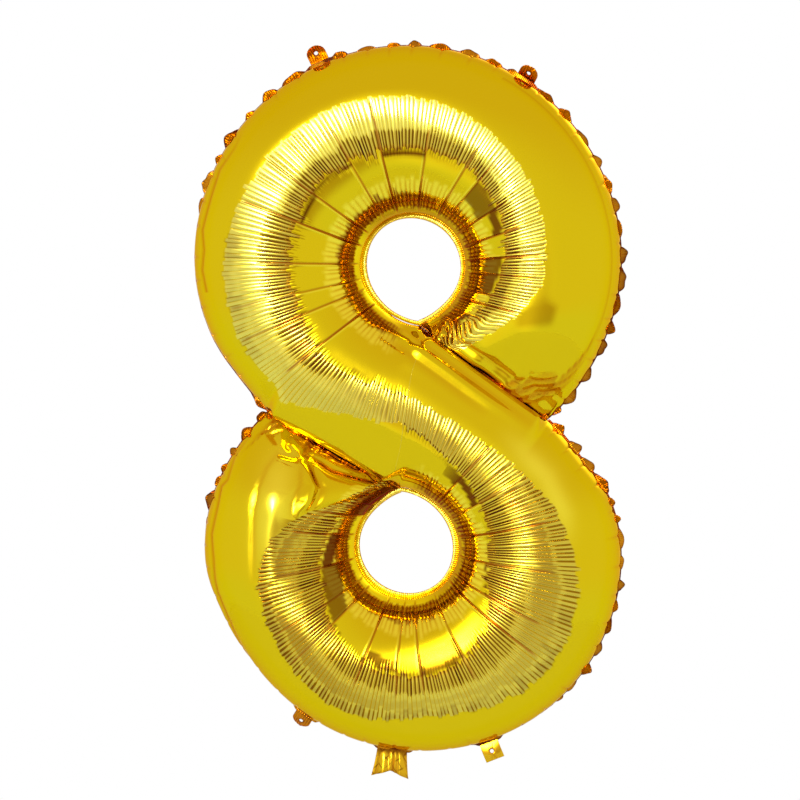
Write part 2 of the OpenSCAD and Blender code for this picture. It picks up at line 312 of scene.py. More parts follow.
def closed_slits(plan, height, S):
    """Draws the bulges on both sides of each slit together, so that they touch well in front of the weld."""
    for loop in (UPPER, LOWER):
        p, q = corner(loop), notch(loop)
        length = np.linalg.norm(q - p)
        run = (q - p) / length
        across = np.array([-run[1], run[0]])
        along = (plan - p) @ run / length
        off = (plan - p) @ across
        beside = smooth((along - 0.01) / 0.12) * (1 - smooth((along - 0.93) / 0.09))
        wall = BULGE_HALF_W * (1 - np.sqrt(np.clip(1 - (height / HALF_DEPTH) ** 2, 0, 1)))
        from_end = np.abs(S - (0 if loop == UPPER else 2))
        near = 1 - smooth((np.abs(off) - wall - 8 * MM) / (8 * MM))
        near = near * (1 - smooth((from_end - 1.10) / 0.22))
        side_pull = 0.985 * (1 - smooth((height - 42 * MM) / (32 * MM)))
        end_pull = 0.60 * (1 - smooth((height - 16 * MM) / (30 * MM)))
        if loop == UPPER:
            lumped = 0.97 * (1 - smooth((height - 32 * MM) / (26 * MM)))
            end_pull = mix(side_pull, lumped, smooth((along - 0.40) / 0.2))
        pull = np.where(from_end < 0.5, end_pull, side_pull) * beside * near
        plan = plan - (np.sign(off) * np.maximum(np.abs(off) - 0.15 * MM, 0) * pull)[..., None] * across
    return plan


class Film:
    """One film: a grid over the tube, and what its pleats and folds do to it.

    side is -1 for the front and +1 for the back. Each kind of pleat and fold moves the film along its
    normals (push, outwards) and marks, from 0 to 1, light and shade painted on the foil there: valley is
    painted shade in amber, shade is painted shade in brown, murk is the darkest painted shade and dark
    reflection, in red-brown, and pale is a painted highlight in paler gold.
    """

    def __init__(self, side, seed):
        self.side = side
        self.rng = np.random.default_rng(seed)
        self.s, self.t = film_grid()
        self.S, self.T = self.s[:, None], self.t[None, :]
        a, b = edges(self.s)
        share = self.T[..., None]
        sharp = mix(a[:, None], b[:, None], share)
        soft = mix(rounded(a)[:, None], rounded(b)[:, None], share)
        plan = mix(sharp, soft, smooth(np.minimum(self.T, 1 - self.T) / 0.15)[..., None])
        arch = np.sqrt(np.clip(1 - (2 * self.T - 1) ** 2, 0, 1))
        self.height = SEAM_FACE + HALF_DEPTH * swell(self.S) * arch
        self.plan = closed_slits(plan, self.height, self.S)
        self.points = stand(self.plan, side * self.height)
        self.normal = surface_normals(self.points, side)
        self.scale = np.linalg.norm(np.gradient(self.plan, axis=0), axis=-1) / np.gradient(self.s)[:, None]

        self.upper = self.s <= 1
        self.f = np.where(self.upper, self.s, 2 - self.s)                # share of the way round a loop
        self.inward = np.where(self.upper[:, None], self.T, 1 - self.T)  # 0 at the rim, 1 at the hole
        self.bound = self.by_loop(UPPER_BOUND, LOWER_BOUND)
        self.far = self.by_loop(UPPER_FAR, LOWER_FAR)
        self.middle_run = path_length((a + b) / 2)
        self.rim_run = path_length(np.where(self.upper[:, None], a, b))
        self.hole_run = path_length(np.where(self.upper[:, None], b, a))

        self.push = np.zeros(self.height.shape)
        self.group = np.zeros(self.height.shape)
        self.marks = {key: np.zeros(self.height.shape) for key in ("valley_shade", "shade", "murk_and_painted_shade", "painted_highlight")}
        self.pleats = {}

    def by_loop(self, upper_table, lower_table):
        return np.where(self.upper, read_table(upper_table, self.f), read_table(lower_table, self.f))

    def mark(self, key, amount):
        self.marks[key] = np.maximum(self.marks[key], amount)

    def fine_pleats(self):
        """Fine pleats over the crown, deeper towards their inner ends."""
        rng, f, inward = self.rng, self.f, self.inward
        k, x, n = lobes(self.middle_run, PLEAT_SPACING, 0.30, rng)
        begin = (self.bound + rng.normal(0, 0.008, n)[k])[:, None]
        stop = self.far + rng.normal(0, 0.010, n)[k] + rng.choice([0, 0.035], n, p=[0.9, 0.1])[k]
        stop = stop[:, None]
        deep = rng.uniform(0.45, 1.3, n)[k][:, None]
        u = (inward - begin) / (stop - begin)
        open_end = smooth((inward - begin) / 0.05) * (1 - smooth((inward - stop) / 0.02))
        ridge = (np.sin(np.pi * x) ** 0.75)[:, None]
        self.push -= PLEAT_DEPTH * deep * (0.25 + 0.75 * np.clip(u, 0, 1)) * open_end * (1 - ridge)
        # towards the diagonal's middle, where the two loops' pleats meet, inner and outer ends look alike
        place = mix(u, 0.5, smooth((f - 0.80) / 0.18)[:, None])
        # painted shade of the pleats, by where they lie round the loop
        pleat_shade = self.by_loop(UPPER_PLEAT_SHADE, LOWER_PLEAT_SHADE)[:, None]
        self.pleats = {"lane": (k + x)[:, None] + 0 * u, "reach": u, "deep": deep + 0 * u, "place": place,
                       "pleat_shade": pleat_shade + 0 * u}
        # painted shade: where the outer ends of the pleats face down or left they are painted dark too
        ends = np.where(self.upper, smooth((f - 0.66) / 0.05) * (1 - smooth((f - 0.80) / 0.05)),
                        smooth((f - 0.18) / 0.06) * (1 - smooth((f - 0.66) / 0.06)))[:, None]
        first = smooth(u / 0.02) * (1 - smooth((u - rng.normal(0.13, 0.05, n)[k][:, None]) / 0.10))
        self.mark("murk_and_painted_shade", ends * first * rng.uniform(0.1, 0.8, n)[k][:, None] * (0.4 + 0.6 * (1 - ridge)))

    def facets(self, loop):
        """Flat facets between long thin creases that run out of a loop's hole, each with a band of painted
        dark reflection just inward of the pleats' inner ends.
        """
        rng, f, inward = self.rng, self.f, self.inward
        mine = (self.upper if loop == UPPER else ~self.upper)[:, None]
        cuts = [0.02]
        while cuts[-1] < 0.97:
            cuts.append(cuts[-1] + rng.uniform(0.026, 0.070))
        cuts = np.array(cuts)
        level = rng.uniform(-FACET_STEP, FACET_STEP, len(cuts)) * MM
        facet = np.interp(f, cuts, level)[:, None]
        cell = np.clip(np.searchsorted(cuts, f), 0, len(cuts) - 1)
        # painted dark reflection: a red-brown band of random width and strength on each facet, just inward of
        # the pleats' ends
        brown_to = (self.far + (rng.uniform(0, 1, len(cuts)) ** 4 * 0.15)[cell])[:, None]
        edge_shade = rng.uniform(0.75, 0.98, len(cuts))[cell][:, None] * mine
        edge_shade = edge_shade * (1 - smooth((f - 0.88) / 0.08))[:, None]
        beyond = smooth((inward - self.far[:, None]) / 0.01) * (1 - smooth((inward - brown_to) / 0.008))
        self.mark("murk_and_painted_shade", edge_shade * beyond)
        self.group = np.where(mine, cell[:, None] + 100 * loop, self.group)
        facet = facet * mine * (1 - smooth((f - 0.84) / 0.12))[:, None]
        near_hole = 1 - smooth((inward - 0.86) / 0.1)
        self.push += facet * smooth((inward - self.bound[:, None] - 0.05) / 0.2) * near_hole
        for cut in cuts[cuts < 0.91]:
            self.crease(cut if loop == UPPER else 2 - cut, mine)

    def crease(self, station, mine):
        """One long crease at that station, painted with shade along it, with a raised fold beside it painted
        with a paler highlight.
        """
        rng, inward = self.rng, self.inward
        d = (self.s[:, None] - station) * self.scale + rng.uniform(-3, 3) * MM * (inward - 0.8)
        reaches = [rng.uniform(-0.03, 0.03), rng.uniform(0.05, 0.2)]
        out_to = np.interp(station, self.s, self.bound) + rng.choice(reaches)
        strength = rng.uniform(0.6, 1.3)
        along = smooth((inward - out_to) / 0.06) * (1 - smooth((inward - 0.975) / 0.02)) * mine
        line = np.exp(-np.abs(d / (0.9 * MM)) ** 1.5) * along
        side_line = np.exp(-np.abs((d - 2.4 * MM) / (1.0 * MM)) ** 1.5) * along
        self.push += strength * MM * (0.55 * side_line - 1.25 * line)
        # painted shade along the crease line, and a painted highlight along the fold beside it
        self.mark("valley_shade", 0.9 * strength * line)
        self.mark("shade", 0.8 * strength * np.exp(-np.abs(d / (1.2 * MM)) ** 2) * along)
        self.mark("painted_highlight", 0.7 * (np.exp(-np.abs((d - 2.6 * MM) / (0.9 * MM)) ** 2) * along))

    def hole_ribs(self):
        """Short ribs round each hole with painted shade between them: a toothed band with a painted
        highlight, a band of painted shade and dark reflection, and a smooth rolled edge.
        """
        rng, f, inward = self.rng, self.f, self.inward
        k, x, n = lobes(self.hole_run, RIB_SPACING, 0.35, rng)
        begin = (0.79 + rng.normal(0, 0.010, n)[k])[:, None]
        deep = rng.uniform(0.4, 1.2, n)[k][:, None]
        near_hole = smooth((f - 0.02) / 0.04)[:, None] * (1 - smooth((f - 0.93) / 0.05))[:, None]
        envelope = smooth((inward - begin) / 0.05) * (1 - smooth((inward - 0.955) / 0.02)) * near_hole
        ridge = (np.sin(np.pi * x) ** 0.8)[:, None]
        self.push -= RIB_DEPTH * deep * envelope * (1 - ridge)
        self.mark("valley_shade", envelope * (1 - ridge) * deep * 0.6)
        dark = smooth((inward - rng.normal(0.872, 0.014, n)[k][:, None]) / 0.02)
        dark = dark * (1 - smooth((inward - rng.normal(0.958, 0.005, n)[k][:, None]) / 0.012)) * near_hole
        self.mark("shade", dark * rng.uniform(0.65, 1.0, n)[k][:, None] * (0.75 + 0.25 * (1 - ridge)))
        # painted shade and dark reflection, darkest where the ribs face down or right; sunny is the side
        # painted as lit
        sunny = np.where(self.upper, smooth((f - 0.56) / 0.12), smooth((0.62 - f) / 0.12))[:, None]
        streak = dark * (1 - ridge) ** 0.4 * rng.uniform(0.6, 1.0, n)[k][:, None]
        self.mark("murk_and_painted_shade", streak * (1 - 0.4 * sunny))
        # painted highlight on the toothed band
        band = smooth((inward - begin) / 0.02) * (1 - smooth((inward - 0.88) / 0.02))
        self.mark("painted_highlight", band * near_hole * (0.35 + 0.65 * ridge))
        # the rolled edge: a painted highlight on its sunny side, painted shade on the rest
        rolled = smooth((inward - 0.960) / 0.010) * near_hole
        self.mark("shade", 0.5 * rolled * (1 - sunny))
        self.mark("painted_highlight", 0.9 * rolled * sunny)

    def rim_puckers(self):
        """Puckers at the rim, spaced like the lumps of the upper margin."""
        k, x, n = lobes(self.rim_run, LUMP_SPACING[UPPER], 0.2, self.rng)
        d = np.minimum(x, 1 - x)[:, None] * LUMP_SPACING[UPPER]
        long = self.rng.uniform(0.03, 0.11, n)[np.where(x < 0.5, k, k + 1) % n][:, None]
        before_slit = smooth((0.93 - self.f) / 0.05)[:, None]
        pucker = np.exp(-(d / (1.6 * MM)) ** 1.4) * (1 - smooth(self.inward / long)) * before_slit
        self.push -= PUCKER_DEPTH * pucker
        # painted shade in the puckers
        self.mark("valley_shade", 0.5 * pucker)

    def slit_puckers(self, station):
        """Ribbed puckers where the bulges meet over a slit: film gathered in uneven, striped lumps."""
        first = station == 0
        cap = np.abs(self.S - station) < 0.4
        rise = self.height - (34 if first else 20) * MM
        edge_run = np.interp(self.t if first else 1 - self.t, [0, 1], [0, 0.2])
        tube_t = self.T if first else 1 - self.T      # 0 at the notch, 1 at the hole's corner
        k, x, n = lobes(edge_run, 26 * MM, 0.4, self.rng)
        wide = self.rng.uniform(7, 14, n)[k][None, :] * MM * (np.sin(np.pi * x) ** 0.4)[None, :]
        if first:
            wide = wide * (1 - smooth((tube_t - 0.30) / 0.2)) + 0.01 * MM
        wide = np.maximum(wide, 1e-9)
        inside = (1 - smooth((rise / wide - 0.8) / 0.4)) * smooth((rise + 14 * MM) / (6 * MM)) * cap
        inside = inside * smooth((tube_t - 0.03) / 0.05) * (1 - smooth((tube_t - 0.93) / 0.05))
        inside = inside * smooth((np.sin(np.pi * tube_t) - 0.12) / 0.15)
        stripe = np.sin(rise / (0.95 * MM) + self.rng.uniform(0, 6, n)[k][None, :])
        cross = np.sin(edge_run / (0.6 * MM))[None, :]
        swelling = 1.5 * MM * np.clip(1 - rise / wide, 0, 1)
        self.push += (0.9 * MM * stripe + 0.3 * MM * cross + swelling) * inside
        # painted shade across the stripes and in the gaps between the lumps
        self.mark("valley_shade", inside * (0.65 - 0.25 * stripe))
        gap = (1 - np.sin(np.pi * x) ** 0.3)[None, :]
        self.mark("shade", inside * np.maximum(0.30 * smooth((-stripe - 0.3) / 0.6), 0.8 * gap))

    def slit_gathers(self):
        """Short gathers along the edge that each loop lays against the other loop's slit."""
        k, x, n = lobes(self.rim_run, 6.5 * MM, 0.4, self.rng)
        reach = self.rng.uniform(0.02, 0.06, n)[k][:, None]
        beside_slit = smooth((self.f - 0.86) / 0.04)[:, None]
        wave = (1 - np.sin(np.pi * x) ** 0.8)[:, None] * (1 - smooth(self.inward / reach)) * beside_slit
        self.push -= 0.9 * MM * wave
        # painted shade in the gathers
        self.mark("valley_shade", 0.6 * wave)

    def soft_folds(self):
        """Big soft folds of the two ends."""
        for loop, line, width, depth in FOLDS:
            if loop == "any":
                mine = np.abs(self.S - 1) < 0.35
            else:
                mine = (self.S < 0.75) if loop == UPPER else (self.S > 1.25)
            d, along = distance_to(self.plan - MIDDLE, np.array(line) * MM)
            ends = np.clip(np.minimum(along, 1 - along) / 0.25, 0, 1) ** 0.7
            shape = np.exp(-(d / (width * MM)) ** 2) * ends * mine
            self.push += depth * MM * shape
            # painted shade in the hollow folds
            if depth < 0:
                self.mark("valley_shade", (0.35 if width > 2 else 1.0) * shape)

    def highlight_strips(self):
        # painted highlight: paler film colour along each strip, standing in for a lamp's reflection on the
        # bulge
        for loop, line, width, amount in HIGHLIGHT_STRIPS:
            mine = (self.S < 1) if loop == UPPER else (self.S > 1)
            d, along = distance_to(self.plan - MIDDLE, np.array(line) * MM)
            ends = smooth(np.minimum(along, 1 - along) / 0.4)
            self.mark("painted_highlight", amount * np.exp(-(d / (width * MM)) ** 2) * ends * mine)

    def unevenness(self):
        """Slow unevenness of the smooth parts."""
        rng = self.rng
        for _ in range(5):
            wave, phase, tilt = rng.uniform(12, 30), rng.uniform(0, 2 * np.pi), rng.uniform(-4, 4)
            ripple = 0.30 * MM * np.sin(wave * self.S + tilt * self.T * np.pi + phase)
            self.push += ripple * np.sin(np.pi * self.T)

    def mesh(self, name):
        points = self.points + self.normal * self.push[..., None]
        points[..., 1] = self.side * np.maximum(self.side * points[..., 1], WELD_CLEAR)
        attributes = {**self.marks, "group": self.group, **self.pleats}
        return grid_mesh(name, points, flip=(self.side > 0), attributes=attributes)


def film(name, side, seed):
    skin = Film(side, seed)
    skin.fine_pleats()
    for loop in (UPPER, LOWER):
        skin.facets(loop)
    skin.hole_ribs()
    skin.rim_puckers()
    for station in (0.0, 2.0):
        skin.slit_puckers(station)
    skin.slit_gathers()
    skin.soft_folds()
    skin.highlight_strips()
    skin.unevenness()
    return skin.mesh(name)


def distance_to(where, line):
    """Distance of each point from a polyline, and how far along it the nearest place is, from 0 to 1."""
    lengths = np.linalg.norm(np.diff(line, axis=0), axis=1)
    best = np.full(where.shape[:-1], 1e9)
    along = np.zeros(where.shape[:-1])
    done = 0.0
    for p, q, length in zip(line[:-1], line[1:], lengths):
        u = np.clip(((where - p) @ (q - p)) / length**2, 0, 1)
        d = np.linalg.norm(where - (p + u[..., None] * (q - p)), axis=-1)
        nearer = d < best
        best = np.where(nearer, d, best)
        along = np.where(nearer, (done + u * length) / lengths.sum(), along)
        done += length
    return best, along


# ---- materials
class Nodes:
    """Short names for adding nodes to a tree."""

    def __init__(self, tree):
        self.tree = tree

    def put(self, socket, value):
        if isinstance(value, bpy.types.NodeSocket):
            self.tree.links.new(value, socket)
        else:
            socket.default_value = value

    def fill(self, node, values):
        for key, value in values.items():
            self.put(node.inputs[key], value)

    def math(self, op, a, b=0.0, c=0.0):
        n = self.tree.nodes.new("ShaderNodeMath")
        n.operation = op
        for socket, value in zip(n.inputs, (a, b, c)):
            self.put(socket, value)
        return n.outputs[0]

    def ramp(self, x, a, b, lo=0.0, hi=1.0):
        """Smooth step of x from a to b, between lo and hi."""
        n = self.tree.nodes.new("ShaderNodeMapRange")
        n.interpolation_type = "SMOOTHSTEP"
        for socket, value in zip(n.inputs, (x, a, b, lo, hi)):
            self.put(socket, value)
        return n.outputs[0]

    def times(self, a, b):
        return self.math("MULTIPLY", a, b)

    def most(self, a, b):
        return self.math("MAXIMUM", a, b)

    def window(self, x, a, b, soft):
        """1 where x lies between a and b, with soft edges."""
        return self.times(self.ramp(x, a - soft, a + soft), self.ramp(x, b - soft, b + soft, 1.0, 0.0))

    def attribute(self, name):
        n = self.tree.nodes.new("ShaderNodeAttribute")
        n.attribute_name = name
        return n.outputs["Fac"]

    def noise(self, scale, detail, coords=None):
        n = self.tree.nodes.new("ShaderNodeTexNoise")
        self.put(n.inputs["Vector"], coords or self.tree.nodes.new("ShaderNodeTexCoord").outputs["Object"])
        self.put(n.inputs["Scale"], scale)
        self.put(n.inputs["Detail"], detail)
        return n.outputs["Fac"]

    def banding(self, along, group):
        """Uneven bands along a pleat that differ from one group of pleats to the next."""
        place = self.tree.nodes.new("ShaderNodeCombineXYZ")
        self.put(place.inputs[0], self.times(along, 4.0))
        self.put(place.inputs[1], self.times(group, 7.3))
        return self.noise(1.0, 1.0, place.outputs[0])

    def bump(self, height, strength, distance, normal=None):
        n = self.tree.nodes.new("ShaderNodeBump")
        self.fill(n, {"Strength": strength, "Distance": distance, "Height": height})
        if normal:
            self.put(n.inputs["Normal"], normal)
        return n.outputs["Normal"]

    def bell(self, x, middle, width):
        """A soft hump round the middle, down to a third at the width."""
        d = self.math("DIVIDE", self.math("SUBTRACT", x, middle), width)
        return self.math("EXPONENT", self.times(self.times(d, d), -1.0))

    def add(self, colour, strength):
        n = self.tree.nodes.new("ShaderNodeVectorMath")
        n.operation = "ADD"
        self.put(n.inputs[0], colour)
        self.put(n.inputs[1], strength)
        return n.outputs[0]

    def mix(self, f, a, b):
        n = self.tree.nodes.new("ShaderNodeMixRGB")
        for socket, value in zip(n.inputs, (f, a, b)):
            self.put(socket, value)
        return n.outputs[0]


def new_material(name):
    m = bpy.data.materials.new(name)
    m.use_nodes = True
    nt = m.node_tree
    return m, nt, nt.nodes["Principled BSDF"]


# Colours that both foils share for painted light and shade: the painted highlight on the tops of the fine
# pleats, the painted highlight of the paler marks, the painted shade of the deepest folds, and the painted
# dark reflection on the tops of the shaded pleats
HIGHLIGHT_PALE = (0.98, 0.88, 0.16, 1)
HIGHLIGHT_GILT = (0.98, 0.80, 0.04, 1)
DEEP_SHADE_MURK = (0.15, 0.028, 0.001, 1)
DARK_REFLECTION_BRONZE = (0.36, 0.19, 0.015, 1)


def pleat_gap_shade(n, reach):
    """Painted shade between the pleats' tops, in bands that shift a little from group to group."""
    place, pleat_shade = n.attribute("place"), n.attribute("pleat_shade")
    shift = n.math("SUBTRACT", n.banding(place, n.attribute("group")), 0.5)
    band = n.math("MULTIPLY_ADD", shift, 0.45, place)
    ends = n.times(n.ramp(band, 0.12, 0.24, 1.0, 0.0), pleat_shade)
    gap_shade = n.most(ends, n.ramp(band, 0.50, 0.70, 0.0, 0.92))
    gap_shade = n.most(gap_shade, n.times(pleat_shade, 0.45))
    return place, pleat_shade, band, n.most(gap_shade, n.ramp(reach, 0.88, 0.94))


def pleat_tops(n, place, pleat_shade, band, light, amber):
    """Colour of the pleats' tops: a painted highlight, a painted dark reflection in olive brown where the
    pleats are shaded, and painted amber shade towards the inner ends.
    """
    lighter = n.math("MULTIPLY_ADD", pleat_shade, -0.70, 1.0)
    tops = n.mix(n.times(n.ramp(band, 0.45, 0.75, 0.85, 0.55), lighter), light, HIGHLIGHT_PALE)
    dark_reflection = n.times(n.ramp(band, 0.18, 0.28), n.ramp(band, 0.42, 0.56, 1.0, 0.0))
    dark_reflection = n.most(n.times(n.times(dark_reflection, pleat_shade), 0.9), n.times(pleat_shade, 0.35))
    dark_reflection = n.most(dark_reflection, n.ramp(band, 0.55, 0.75, 0.0, 0.25))
    tops = n.mix(dark_reflection, tops, DARK_REFLECTION_BRONZE)
    return n.mix(n.ramp(place, 0.85, 1.0, 0.0, 0.7), tops, amber)


def foil(name, light, amber, brown, roughness):
    """Metallised film with painted light and shade: painted amber shade in valleys, painted brown shade and
    painted highlights, with the fine pleats drawn in and a clear coat.
    """
    m, nt, p = new_material(name)
    n = Nodes(nt)
    # a valley between each two lanes, open from its outer end (reach 0) to its inner end (1)
    lane, reach, deep = n.attribute("lane"), n.attribute("reach"), n.attribute("deep")
    ridge = n.math("POWER", n.math("SINE", n.times(n.math("FRACT", lane), math.pi)), 0.8)
    pleated = n.times(n.ramp(reach, 0.0, 0.03), n.ramp(reach, 0.98, 1.0, 1.0, 0.0))
    pleated = n.times(pleated, n.math("GREATER_THAN", deep, 0.0))
    place, pleat_shade, band, gap_shade = pleat_gap_shade(n, reach)
    edge = n.math("MULTIPLY_ADD", gap_shade, 0.60, n.times(deep, 0.24))
    valleys = n.ramp(n.math("SUBTRACT", ridge, edge), -0.07, 0.07, 1.0, 0.0)
    tops = pleat_tops(n, place, pleat_shade, band, light, amber)
    # painted shade and dark reflection between the pleats' tops
    between = n.mix(gap_shade, n.mix(pleat_shade, light, amber), DEEP_SHADE_MURK)

    # painted amber shade in hollows, a painted highlight in paler gold, and painted brown shade
    colour = n.mix(n.attribute("valley_shade"), n.mix(n.attribute("painted_highlight"), light, HIGHLIGHT_GILT), amber)
    colour = n.mix(n.times(pleated, 0.9), colour, n.mix(valleys, tops, between))
    colour = n.mix(n.attribute("shade"), colour, brown)
    # the painted shade also dims the edge tint of the reflection
    tint_shade = n.most(n.attribute("murk_and_painted_shade"), n.times(n.times(valleys, gap_shade), pleated))
    on_tops = n.times(pleated, n.math("SUBTRACT", 1.0, valleys))

    soft_ends = n.times(n.ramp(reach, 0.0, 0.06), n.ramp(reach, 0.86, 1.0, 1.0, 0.0))
    soft_ends = n.times(soft_ends, n.math("MULTIPLY_ADD", n.most(gap_shade, pleat_shade), 0.75, 0.25))
    groove = n.times(n.times(n.math("SUBTRACT", ridge, 1.0), soft_ends), deep)
    n.fill(p, {"Base Color": n.mix(n.attribute("murk_and_painted_shade"), colour, DEEP_SHADE_MURK),
               "Metallic": 1.0,
               "Specular Tint": n.mix(tint_shade, (0.90, 0.60, 0.10, 1), (0.60, 0.22, 0.03, 1)),
               "Roughness": n.ramp(n.noise(14.0, 2.0), 0.3, 0.7, roughness - 0.02, roughness + 0.03),
               "Coat Weight": n.math("MULTIPLY_ADD", on_tops, 0.14, 0.05),
               "Coat Roughness": 0.05,
               "Coat IOR": 1.5,
               "Normal": n.bump(n.noise(90.0, 4.0), 0.06, 0.001, n.bump(groove, 0.8, 0.0009))})
    return m


def amber_film(name, base, deep, scale):
    """Glossy amber of the welded film, with the fine ribs that the sealing bar leaves."""
    m, nt, p = new_material(name)
    n = Nodes(nt)
    rib = n.math("MULTIPLY_ADD", n.math("SINE", n.times(n.attribute("along"), scale)), 0.5, 0.5)
    noise = n.noise(120.0, 3.0)
    # painted shade where the valley mark is; the ribs add darker lines
    dark = n.most(n.attribute("valley_shade"), n.times(rib, n.ramp(noise, 0.35, 0.65, 0.2, 0.7)))
    n.fill(p, {"Base Color": n.mix(dark, base, deep),
               "Metallic": 1.0,
               "Roughness": n.ramp(noise, 0.3, 0.7, 0.16, 0.30),
               "Specular Tint": (0.85, 0.45, 0.05, 1),
               "Coat Weight": 0.12,
               "Coat Roughness": 0.08,
               "Normal": n.bump(rib, 0.5, 0.0006)})
    return m


def clear_film():
    """The valve's clear film, slightly uneven in gloss."""
    m, nt, p = new_material("clear_valve_film")
    n = Nodes(nt)
    noise = nt.nodes.new("ShaderNodeTexNoise")
    n.put(noise.inputs["Scale"], 60.0)
    n.fill(p, {"Base Color": (0.92, 0.93, 0.95, 1),
               "Roughness": n.ramp(noise.outputs["Fac"], 0.3, 0.7, 0.08, 0.22),
               "Alpha": 0.35,
               "IOR": 1.5})
    return m


# ---- margin, hole rings and slit welds
TAB_W, TAB_LEN, TAB_HOLE_R = 24 * MM, 22 * MM, 2.5 * MM
NECK_W, MOUTH_W, NECK_LEN, TAIL_CUT = 38 * MM, 47 * MM, 34 * MM, 9 * MM
VALVE_W, VALVE_LEN = 30 * MM, 109.4 * MM
# Fold lines, as in the CAD: loop, angle in degrees, distance beyond the rim in mm, tilt at rest in degrees
NECK = (LOWER, 85, 4, 0)
TABS = {"upper_left": (UPPER, 114, 5, -20), "upper_right": (UPPER, 58, 4, -60),
        "lower_left": (LOWER, 58, 4, 30), "lower_right": (LOWER, 112, 4, -15)}


def fold_frame(fold):
    """Origin, direction away from the balloon, direction along the fold, and the tilt in radians."""
    loop, angle, out, tilt = fold
    p = rim_point(loop, angle, out * MM)
    turn = math.radians(angle + (180 if loop == LOWER else 0))
    away = np.array([math.cos(turn), 0, math.sin(turn)])
    along = np.array([-math.sin(turn), 0, math.cos(turn)])
    return np.array([p[0], 0, p[1]]), away, along, math.radians(tilt)


def placed(fold, out, across, y):
    """Points from their distances away from a fold line, along it and behind the weld plane."""
    origin, away, along, _ = fold_frame(fold)
    return origin + out[..., None] * away + across[..., None] * along + y[..., None] * np.array([0, 1, 0])


def add(piece, body, nodes, material):
    """Hangs a piece on a body in the place of its CAD nodes; given more than one body, only bakes its place
    into its mesh.
    """
    piece.data.materials.append(material)
    if isinstance(body, str):
        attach(piece, body)
    else:
        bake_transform(piece)
    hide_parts(*nodes)
    return piece


def thicken(obj, thickness):
    """Gives a sheet a thickness, half on each side."""
    m = obj.modifiers.new("thickness", "SOLIDIFY")
    m.thickness = thickness
    m.offset = 0
    return obj


def margin_lumps(loop, run, rng):
    """Uneven lumps along the margin: the place in each, its profile, height, random darkness and lean."""
    k, x, n = lobes(run, LUMP_SPACING[loop], 0.3, rng)
    tall = rng.uniform(4.5, 10.0, n)[k] * MM
    broad = rng.uniform(0.5, 0.95, n)[k]
    murk_and_painted_shade = rng.uniform(0.0, 0.6, n)[k]
    peak = rng.uniform(0.35, 0.65, n)[k]
    x = np.where(x < peak, 0.5 * x / peak, 0.5 + 0.5 * (x - peak) / (1 - peak))
    lean = (rng.choice([-1, 1], n) * rng.uniform(0.5, 1.0, n))[k]
    bump = np.clip(1 - (np.abs(2 * x - 1) / broad) ** 1.9, 0, 1) ** 0.8
    bump = bump * (0.86 + 0.14 * np.sin(run / (3.1 * MM) + 2 * np.sin(run / (17 * MM))))
    return x, bump, tall, murk_and_painted_shade, lean


def held_flat(loop, angle):
    """1 where a tab or the neck runs on from the margin and keeps it flat."""
    keep = np.zeros(angle.shape)
    for other, at, _, _ in [*TABS.values(), NECK]:
        if other == loop:
            half = math.degrees((TAB_W if at != NECK[1] else NECK_W) / 2 / LOOP_R[loop])
            keep = np.maximum(keep, 1 - smooth((np.abs(angle - at) - half) / 2.5))
    return keep


def margin_strip(loop, rng):
    """The welded margin of one loop: a row of puckered lumps, curled back where the bulge pulls it round."""
    from_angle, to_angle = RIMS[loop][0][0], RIMS[loop][-1][0]
    angle = np.linspace(from_angle, to_angle, 1500)
    rim = rim_point(loop, angle)
    run = path_length(rim)
    radial = rim_point(loop, angle, 1.0) - rim
    x, bump, tall, murk_and_painted_shade, lean = margin_lumps(loop, run, rng)
    keep = held_flat(loop, angle)
    if loop == UPPER:
        curl = smooth((angle - 160) / 10) * smooth((to_angle - 2 - angle) / 8)
    else:
        curl = smooth((angle + 14) / 10) * (1 - smooth((angle - 130) / 10))
    curl = curl * (1 - keep)
    v = np.linspace(0, 1, 11)
    reach = (1.2 * MM + (tall - 1.2 * MM) * bump) * (1 - keep) + 4.5 * MM * keep
    out = -2.5 * MM + (reach + 2.5 * MM)[:, None] * v
    free = np.clip(out / MARGIN_W, 0, 1)
    wrinkle = 0.45 * MM * np.sin(run / (1.05 * MM) + 3 * np.sin(run / (9 * MM)))[:, None]
    wrinkle = wrinkle * (1 - keep)[:, None]
    y = lean[:, None] * 7.0 * MM * (bump * np.sin(np.pi * x))[:, None] * free**0.8 * (1 - keep)[:, None]
    y = y + wrinkle * free**0.5
    # where it is curled back it stands across the weld plane, close against the back film
    c = curl[:, None]
    y = mix(y, np.clip(out, 0, 1) * 0.75 + wrinkle * free, c)
    out = mix(out, np.minimum(out, 0) + 1.1 * MM * (1 - np.exp(-np.clip(out, 0, 1) / (1.2 * MM))), c)
    points = stand(rim[:, None] + radial[:, None] * out[..., None], y)
    # a random darkness per lump, painted shade between the lumps, and darker towards the outer edge
    valley_shade = np.clip(murk_and_painted_shade[:, None] + (1 - bump)[:, None] ** 2 * 0.9 + 0.5 * v**4, 0, 1) + 0 * y
    along = np.broadcast_to(run[:, None], y.shape)
    return points, valley_shade, along


def joined_grids(name, grids):
    """One mesh from several grids of points with their valley and along values."""
    points, quads, valley_shade, along, base = [], [], [], [], 0
    for p, v, w in grids:
        quads.append(grid_faces(*p.shape[:2], base))
        points.append(p.reshape(-1, 3))
        valley_shade.append(np.ravel(v))
        along.append(np.ravel(w))
        base += v.size
    return mesh_object(name, np.concatenate(points), np.concatenate(quads),
                       {"valley_shade": np.concatenate(valley_shade), "along": np.concatenate(along)})


